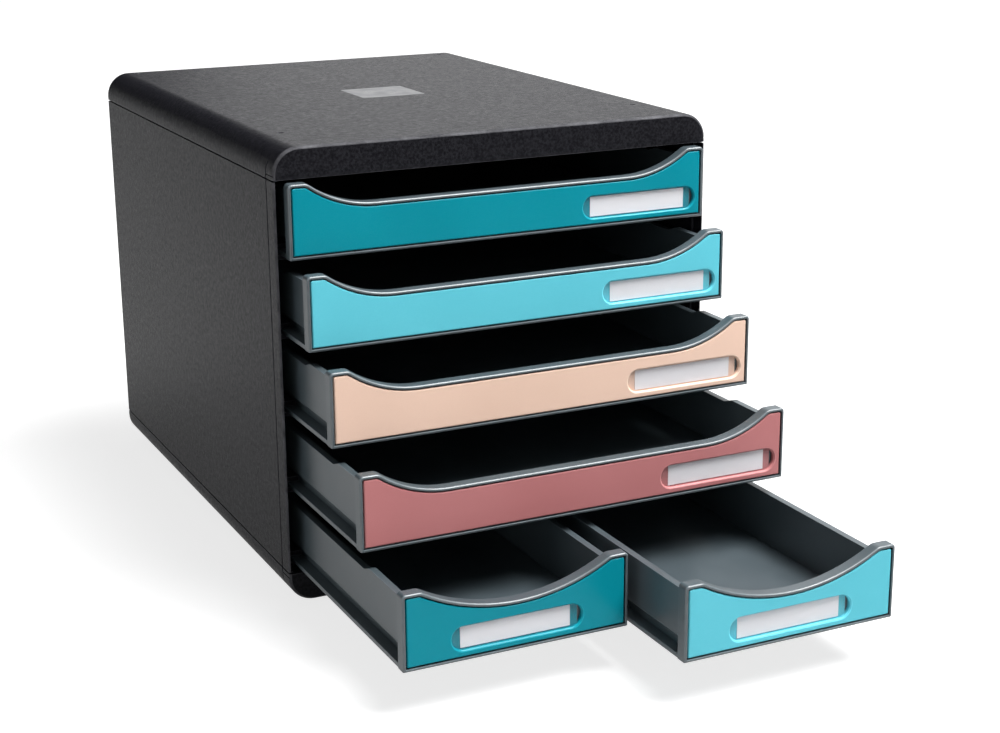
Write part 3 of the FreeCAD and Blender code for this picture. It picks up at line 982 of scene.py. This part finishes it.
@dataclass
class Studio:
    """The plain pale floor, the white surroundings, the dark cards and the soft lamps.

    Attributes:
        floor_half: Half the floor's side.
        floor_colour: The floor's colour as it looks.
        floor_lift: The floor's own glow to the eye, near the object and far from it.
        mirrored_lift: The same, as glossy pieces see it.
        floor_reach: The distances at which the near glow ends and the far one starts.
        surround: How strongly the white surroundings light the object.
        card_colour: The dark cards' colour as it looks.
    """

    floor_half: float = 14.0
    floor_colour: Colour = (180, 180, 180)
    floor_lift: Range = (0.76, 0.95)
    mirrored_lift: Range = (0.45, 0.6)
    floor_reach: Range = (0.5, 2.0)
    surround: float = 0.12
    card_colour: Colour = (12, 12, 12)

    def build(self) -> None:
        """Set the floor, the surroundings, the dark cards and the lamps."""
        self.floor()
        self.surroundings()
        self.dark_cards()
        for lamp in self.lamps():
            lamp.build()
        bpy.context.scene.view_settings.view_transform = "Standard"

    def lamps(self) -> list[Softbox]:
        """Describe the lamps.

        Returns:
            The key over the front right, a low lamp at the left, and two that only the
            sheen sees: one over the front edges and one behind the object.
        """
        return [
            Softbox(
                "key_softbox",
                place=(0.85, -0.75, 2.15),
                aim=(0.0, -0.15, 0.15),
                size=(1.5, 1.4),
                radiance=19.0,
            ),
            Softbox(
                "left_softbox",
                place=(-2.6, -0.5, 0.45),
                aim=(0.0, -0.1, 0.12),
                size=(2.0, 0.7),
                radiance=2.2,
            ),
            Softbox(
                "edge_strip",
                place=(1.15, -0.78, 2.4),
                aim=(0.0, -0.1, 0.2),
                size=(0.8, 0.8),
                radiance=20.0,
                only_in_sheen=True,
            ),
            Softbox(
                "back_strip",
                place=(1.3, 2.3, 1.3),
                aim=(0.0, 0.0, 0.2),
                size=(1.6, 0.9),
                radiance=0.6,
                only_in_sheen=True,
            ),
        ]

    @staticmethod
    def rays(tree: bpy.types.NodeTree, *names: str) -> Socket:
        """Give 1 for the named kinds of ray, and 0 for every other.

        Args:
            tree: The node tree of the floor or the surroundings.
            names: The outputs of the Light Path node to look at.

        Returns:
            The socket with that value.
        """
        path = tree.nodes.new("ShaderNodeLightPath")
        total = path.outputs[names[0]]
        for name in names[1:]:
            most = tree.nodes.new("ShaderNodeMath")
            most.operation = "MAXIMUM"
            tree.links.new(total, most.inputs[0])
            tree.links.new(path.outputs[name], most.inputs[1])
            total = most.outputs[0]
        return total

    @staticmethod
    def plane(
        name: str,
        corners: Sequence[Sequence[float]],
        material: bpy.types.Material,
    ) -> bpy.types.Object:
        """Make a flat stage piece from its four corners.

        Args:
            name: Its name.
            corners: Its corners in order.
            material: Its finish.

        Returns:
            The stage piece.
        """
        form = bmesh.new()
        form.faces.new([form.verts.new(corner) for corner in corners])
        mesh = bpy.data.meshes.new(name)
        form.to_mesh(mesh)
        form.free()
        mesh.materials.append(material)
        sheet = bpy.data.objects.new(name, mesh)
        bpy.context.scene.collection.objects.link(sheet)
        return sheet

    @staticmethod
    def matt(name: str, colour: Colour) -> bpy.types.Material:
        """Make a matt material of one colour for a stage piece.

        Args:
            name: The material's name.
            colour: Its colour as it looks.

        Returns:
            The material.
        """
        material = bpy.data.materials.new(name)
        material.use_nodes = True
        shader = material.node_tree.nodes["Principled BSDF"]
        shader.inputs["Base Color"].default_value = linear(colour)
        shader.inputs["Roughness"].default_value = 1.0
        shader.inputs["Specular IOR Level"].default_value = 0.0
        return material

    def glow(self, tree: bpy.types.NodeTree, rays: Socket, levels: Range) -> Socket:
        """Give the floor's own glow to some kinds of ray.

        Args:
            tree: The floor's node tree.
            rays: 1 for those rays, and 0 for every other.
            levels: The glow near the object and far from it.

        Returns:
            The glow.
        """
        away = tree.nodes.new("ShaderNodeVectorMath")
        away.operation = "LENGTH"
        tree.links.new(tree.nodes.new("ShaderNodeTexCoord").outputs["Object"], away.inputs[0])
        fade = tree.nodes.new("ShaderNodeMapRange")
        fade.interpolation_type = "SMOOTHSTEP"
        tree.links.new(away.outputs["Value"], fade.inputs["Value"])
        fade.inputs["From Min"].default_value, fade.inputs["From Max"].default_value = self.floor_reach
        fade.inputs["To Min"].default_value, fade.inputs["To Max"].default_value = levels
        share = tree.nodes.new("ShaderNodeMath")
        share.operation = "MULTIPLY"
        tree.links.new(rays, share.inputs[0])
        tree.links.new(fade.outputs["Result"], share.inputs[1])
        return share.outputs[0]

    def floor(self) -> None:
        """Lay a matt pale floor that looks white where no shadow falls."""
        material = self.matt("studio_floor", self.floor_colour)
        tree = material.node_tree
        lift = tree.nodes.new("ShaderNodeMath")
        lift.operation = "ADD"
        tree.links.new(self.glow(tree, self.rays(tree, EYE), self.floor_lift), lift.inputs[0])
        tree.links.new(self.glow(tree, self.rays(tree, *MIRRORED), self.mirrored_lift), lift.inputs[1])
        shader = tree.nodes["Principled BSDF"]
        shader.inputs["Emission Color"].default_value = WHITE
        tree.links.new(lift.outputs[0], shader.inputs["Emission Strength"])
        half = self.floor_half
        corners = ((-half, -half, 0), (half, -half, 0), (half, half, 0), (-half, half, 0))
        self.plane("floor", corners, material)

    def surroundings(self) -> None:
        """Make the surroundings white to the eye and dim as a lamp."""
        world = bpy.data.worlds.new("studio_surroundings")
        world.use_nodes = True
        bpy.context.scene.world = world
        tree = world.node_tree
        backdrop = tree.nodes["Background"]
        backdrop.inputs["Color"].default_value = WHITE
        level = tree.nodes.new("ShaderNodeMapRange")
        tree.links.new(self.rays(tree, EYE, *MIRRORED), level.inputs["Value"])
        level.inputs["To Min"].default_value = self.surround
        level.inputs["To Max"].default_value = 1.0
        tree.links.new(level.outputs["Result"], backdrop.inputs["Strength"])

    def dark_cards(self) -> None:
        """Set dark cards behind the left and before the object, which only its sheen sees."""
        material = self.matt("studio_dark_card", self.card_colour)
        cards = {
            "back_dark_card": (
                (-4.0, 0.9, 0.2),
                (0.7, 3.0, 0.3),
                (0.7, 3.0, 4.0),
                (-4.0, 0.9, 4.0),
            ),
            "front_dark_card": (
                (-2.5, -4.5, 0.02),
                (3.5, -4.5, 0.02),
                (3.5, -0.72, 0.02),
                (-2.5, -0.72, 0.02),
            ),
        }
        for name, corners in cards.items():
            card = self.plane(name, corners, material)
            card.visible_camera = False
            card.visible_diffuse = False
            card.visible_shadow = False
            card.visible_transmission = False


@dataclass(frozen=True)
class PhotoCamera:
    """The camera, where the photograph was taken from.

    Attributes:
        place: Where it stands.
        azimuth: How far it is turned round the object, from straight before it.
        elevation: How far it looks down.
        roll: How far it leans.
        lens: Its focal length in millimetres.
        sensor: The width of its sensor in millimetres.
        nearest: The distance at which it starts to see.
        farthest: The distance at which it stops.
    """

    place: tuple[float, float, float] = (-0.45275, -1.01075, 0.43316)
    azimuth: float = -0.447736682
    elevation: float = 0.284635534
    roll: float = -0.007956294
    lens: float = 67.22
    sensor: float = 36.0
    nearest: float = 0.01
    farthest: float = 100.0

    def build(self) -> None:
        """Set the camera up and make it the scene's own."""
        back = Vector(
            (
                math.sin(self.azimuth) * math.cos(self.elevation),
                -math.cos(self.azimuth) * math.cos(self.elevation),
                math.sin(self.elevation),
            )
        )
        right = Vector((0, 0, 1)).cross(back).normalized()
        up = back.cross(right)
        across = math.cos(self.roll) * right + math.sin(self.roll) * up
        upward = math.cos(self.roll) * up - math.sin(self.roll) * right
        turn = Matrix((across, upward, back)).transposed()
        data = bpy.data.cameras.new("photo_camera")
        data.lens = self.lens
        data.sensor_fit = "HORIZONTAL"
        data.sensor_width = self.sensor
        data.clip_start = self.nearest
        data.clip_end = self.farthest
        camera = bpy.data.objects.new("photo_camera", data)
        camera.matrix_world = Matrix.Translation(self.place) @ turn.to_4x4()
        bpy.context.scene.collection.objects.link(camera)
        bpy.context.scene.camera = camera


def main() -> None:
    """Build the case, the drawers, the studio and the camera."""
    PhotoCamera().build()
    finishes = Finishes()
    Case(finishes).build()
    Badge(finishes).build()
    for end in ("front", "back"):
        for side in ("left", "right"):
            Foot(finishes, f"foot_{end}_{side}").build()
    colours = (
        FrontColour.TEAL,
        FrontColour.TURQUOISE,
        FrontColour.PEACH,
        FrontColour.ROSE,
        FrontColour.TEAL,
        FrontColour.TURQUOISE,
    )
    for number, colour in enumerate(colours, start=1):
        Drawer(finishes, number, colour).build()
    Studio().build()


if __name__ == "__main__":
    main()
